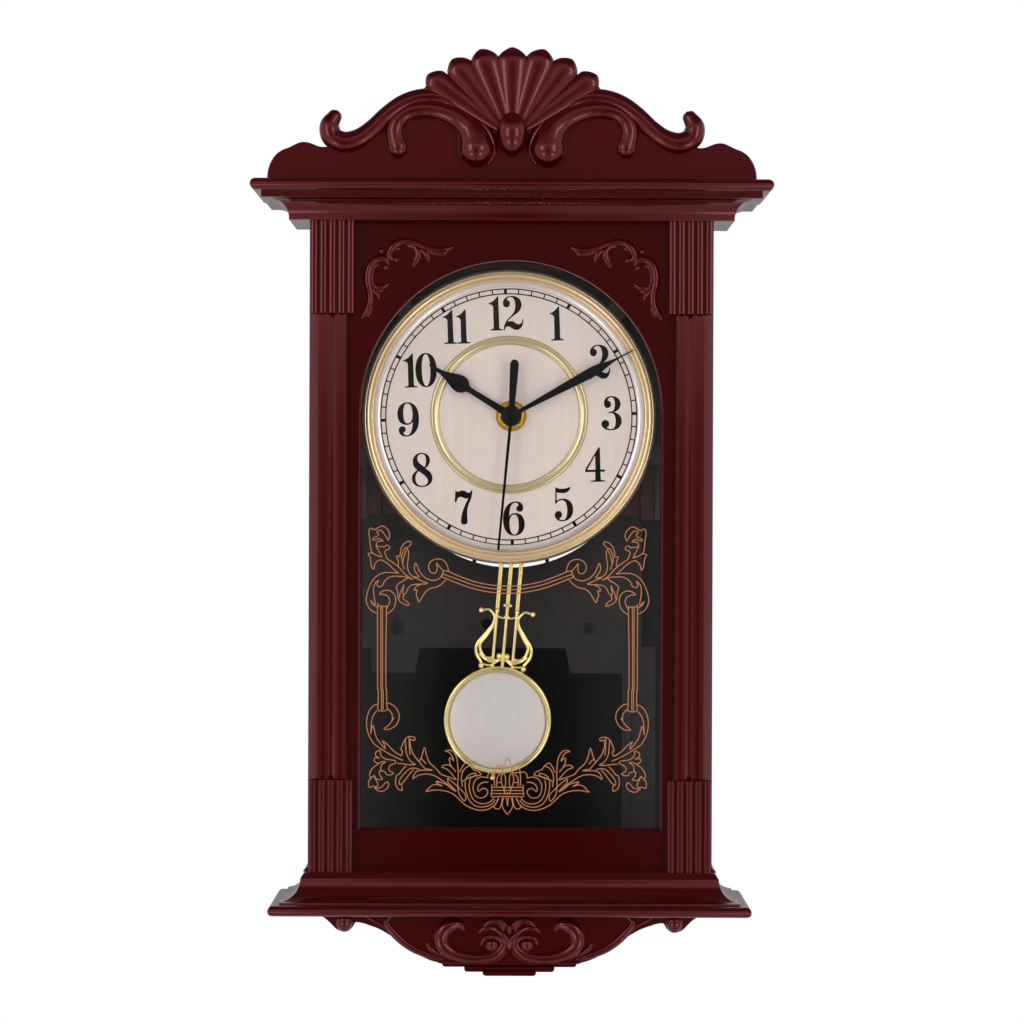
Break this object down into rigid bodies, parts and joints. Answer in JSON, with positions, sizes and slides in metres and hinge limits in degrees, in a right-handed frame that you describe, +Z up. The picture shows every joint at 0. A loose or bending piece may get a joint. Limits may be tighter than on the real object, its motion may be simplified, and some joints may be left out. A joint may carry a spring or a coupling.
{
  "type": "pendulum wall clock",
  "caption": "Wall clock with an arched glass door panel, reeded pilasters, moulded cornice, carved shell crest, round dial and a swinging lyre pendulum.",
  "frame": {"origin": "centre of the hanger plate's round hole, in the wall plane", "axes": "+X to the viewer's right, +Y into the wall, +Z up; the dial faces -Y"},
  "size_m": [0.2718, 0.08, 0.4841],
  "materials": {
    "case_finish": "satin mahogany finish",
    "glass": "clear",
    "steel": "satin",
    "black_plastic": "matt",
    "dial_enamel": "satin",
    "polished_brass": "polished",
    "hand_black": "painted black",
    "gear_plastic": "natural",
    "magnet": "plated",
    "copper": "lacquered wire",
    "board": "solder mask",
    "battery_wrap": "gloss",
    "satin_silver": "satin",
    "backboard": "matt",
    "dark_plate": "matt"
  },
  "bodies": {
    "clock": {"case_body": "case_finish", "cornice": "case_finish", "crest": "case_finish", "base_moulding": "case_finish", "apron": "case_finish", "pilaster_right": "case_finish", "pilaster_left": "case_finish", "capital_right": "case_finish", "capital_left": "case_finish", "plinth_right": "case_finish", "plinth_left": "case_finish", "corner_scroll_right": "case_finish", "corner_scroll_left": "case_finish", "window_glass": "glass", "glass_clips": "steel", "dial_pan": "black_plastic", "dial_screws": "steel", "dial_plate": "dial_enamel", "dial_bezel": "polished_brass", "chapter_ring": "polished_brass", "hand_washer": "polished_brass", "hand_nut": "polished_brass", "movement_front_case": "black_plastic", "movement_back_case": "black_plastic", "movement_screws": "steel", "stator": "steel", "motor_coil": "copper", "circuit_board": "board", "quartz_crystal": "steel", "battery": "battery_wrap", "battery_contact_plus": "steel", "battery_contact_minus": "steel", "drive_coil": "copper", "pivot_pin": "steel", "back_cover": "backboard", "back_screws": "steel", "inner_plate": "dark_plate", "plate_screws": "dark_plate", "hanger_plate": "steel", "hanger_screws": "steel"},
    "seconds": {"seconds_wheel": "gear_plastic", "second_hand": "hand_black"},
    "centre": {"centre_wheel": "gear_plastic", "minute_hand": "hand_black"},
    "hour": {"hour_wheel": "gear_plastic", "hour_hand": "hand_black"},
    "rotor": {"rotor": "magnet"},
    "intermediate": {"intermediate_wheel": "gear_plastic"},
    "third": {"third_wheel": "gear_plastic"},
    "motion_work": {"minute_wheel": "gear_plastic", "setting_knob": "black_plastic"},
    "pendulum": {"pendulum_lever": "black_plastic", "lever_magnet": "magnet", "pendulum_rods": "polished_brass", "lyre": "polished_brass", "bob_ring": "polished_brass", "bob_disc": "satin_silver"}
  },
  "joints": [
    {"name": "seconds_spin", "type": "hinge", "parent": "clock", "child": "seconds", "pos_m": [0, -0.025, -0.095], "axis": [0, 1, 0], "continuous": true},
    {"name": "centre_spin", "type": "hinge", "parent": "clock", "child": "centre", "pos_m": [0, -0.025, -0.095], "axis": [0, 1, 0], "continuous": true},
    {"name": "hour_spin", "type": "hinge", "parent": "clock", "child": "hour", "pos_m": [0, -0.025, -0.095], "axis": [0, 1, 0], "continuous": true},
    {"name": "rotor_spin", "type": "hinge", "parent": "clock", "child": "rotor", "pos_m": [0.01161, -0.025, -0.08436], "axis": [0, 1, 0], "continuous": true},
    {"name": "intermediate_spin", "type": "hinge", "parent": "clock", "child": "intermediate", "pos_m": [0.00264, -0.025, -0.08515], "axis": [0, 1, 0], "continuous": true},
    {"name": "third_spin", "type": "hinge", "parent": "clock", "child": "third", "pos_m": [0.00866, -0.025, -0.1], "axis": [0, 1, 0], "continuous": true},
    {"name": "motion_work_spin", "type": "hinge", "parent": "clock", "child": "motion_work", "pos_m": [-0.00718, -0.025, -0.08782], "axis": [0, 1, 0], "continuous": true},
    {"name": "pendulum_swing", "type": "hinge", "parent": "clock", "child": "pendulum", "pos_m": [0, -0.023, -0.165], "axis": [0, 1, 0], "range_deg": [-12.88, 3.12]}
  ],
  "couplings": [
    {"joint": "centre_spin", "follows": "seconds_spin", "ratio": 0.016667},
    {"joint": "hour_spin", "follows": "seconds_spin", "ratio": 0.0013889},
    {"joint": "rotor_spin", "follows": "seconds_spin", "ratio": 30},
    {"joint": "intermediate_spin", "follows": "seconds_spin", "ratio": -5},
    {"joint": "third_spin", "follows": "seconds_spin", "ratio": -0.13333},
    {"joint": "motion_work_spin", "follows": "seconds_spin", "ratio": -0.0055556}
  ]
}
